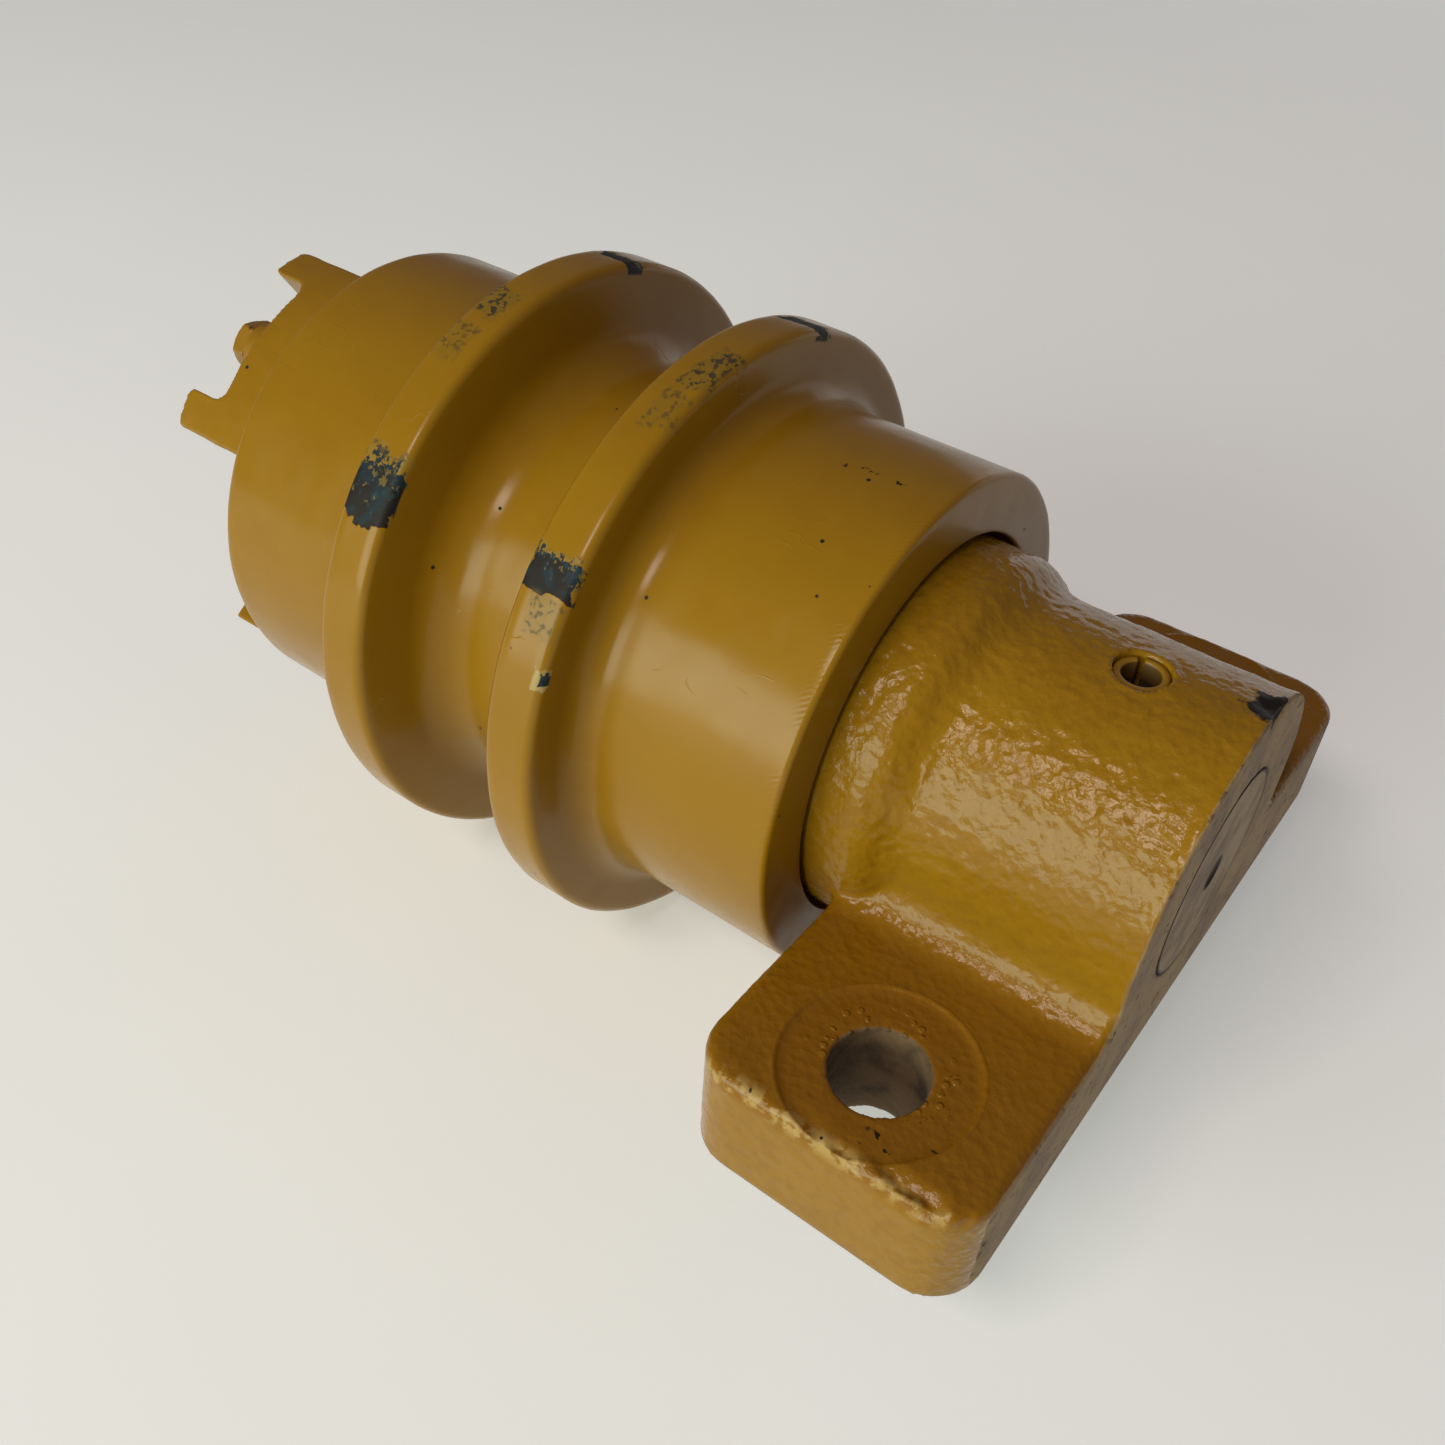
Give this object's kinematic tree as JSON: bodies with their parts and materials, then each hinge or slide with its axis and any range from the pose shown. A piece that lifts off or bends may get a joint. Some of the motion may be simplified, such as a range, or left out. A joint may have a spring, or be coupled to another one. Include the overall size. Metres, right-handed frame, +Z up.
{
  "type": "carrier roller",
  "caption": "Cantilevered carrier roller: a foot-mounted cast bracket holds a fixed shaft; a flanged, grooved, castellated roller turns on it.",
  "frame": {"origin": "on the underside of the bracket's foot, midway between its two bolt holes", "axes": "+Z up, along the bolts; +Y along the roller's axis, from the bracket's end face to the castellated end; +X along the foot"},
  "size_m": [0.211, 0.2855, 0.1654],
  "materials": {
    "ochre_paint": "gloss ochre-yellow enamel over a cast surface",
    "ochre_paint_smooth": "gloss ochre-yellow enamel over machined steel",
    "turned_steel": "machined steel, stained brown",
    "hard_steel": "lapped wear-resistant steel",
    "zinc_steel": "zinc-plated steel",
    "bronze": "sintered bronze",
    "nitrile": "moulded black rubber"
  },
  "bodies": {
    "bracket": {"bracket": "ochre_paint", "shaft": "turned_steel", "spring_pin": "turned_steel", "shaft_o_ring": "nitrile", "stationary_seal_ring": "hard_steel", "stationary_toric_ring": "nitrile", "thrust_washer": "bronze", "thrust_plate": "hard_steel", "thrust_plate_lock_washers": "zinc_steel", "thrust_plate_bolts": "zinc_steel"},
    "roller": {"roller_shell": "ochre_paint_smooth", "inner_bushing": "bronze", "outer_bushing": "bronze", "rotating_seal_ring": "hard_steel", "rotating_toric_ring": "nitrile", "end_cover": "ochre_paint", "cover_o_ring": "nitrile", "cover_lock_washers": "ochre_paint_smooth", "cover_bolts": "ochre_paint_smooth", "fill_plug": "ochre_paint_smooth", "fill_plug_washer": "zinc_steel"}
  },
  "joints": [
    {"name": "roller_spin", "type": "hinge", "parent": "bracket", "child": "roller", "pos_m": [0, 0.133, 0.045], "axis": [0, 1, 0], "continuous": true}
  ]
}
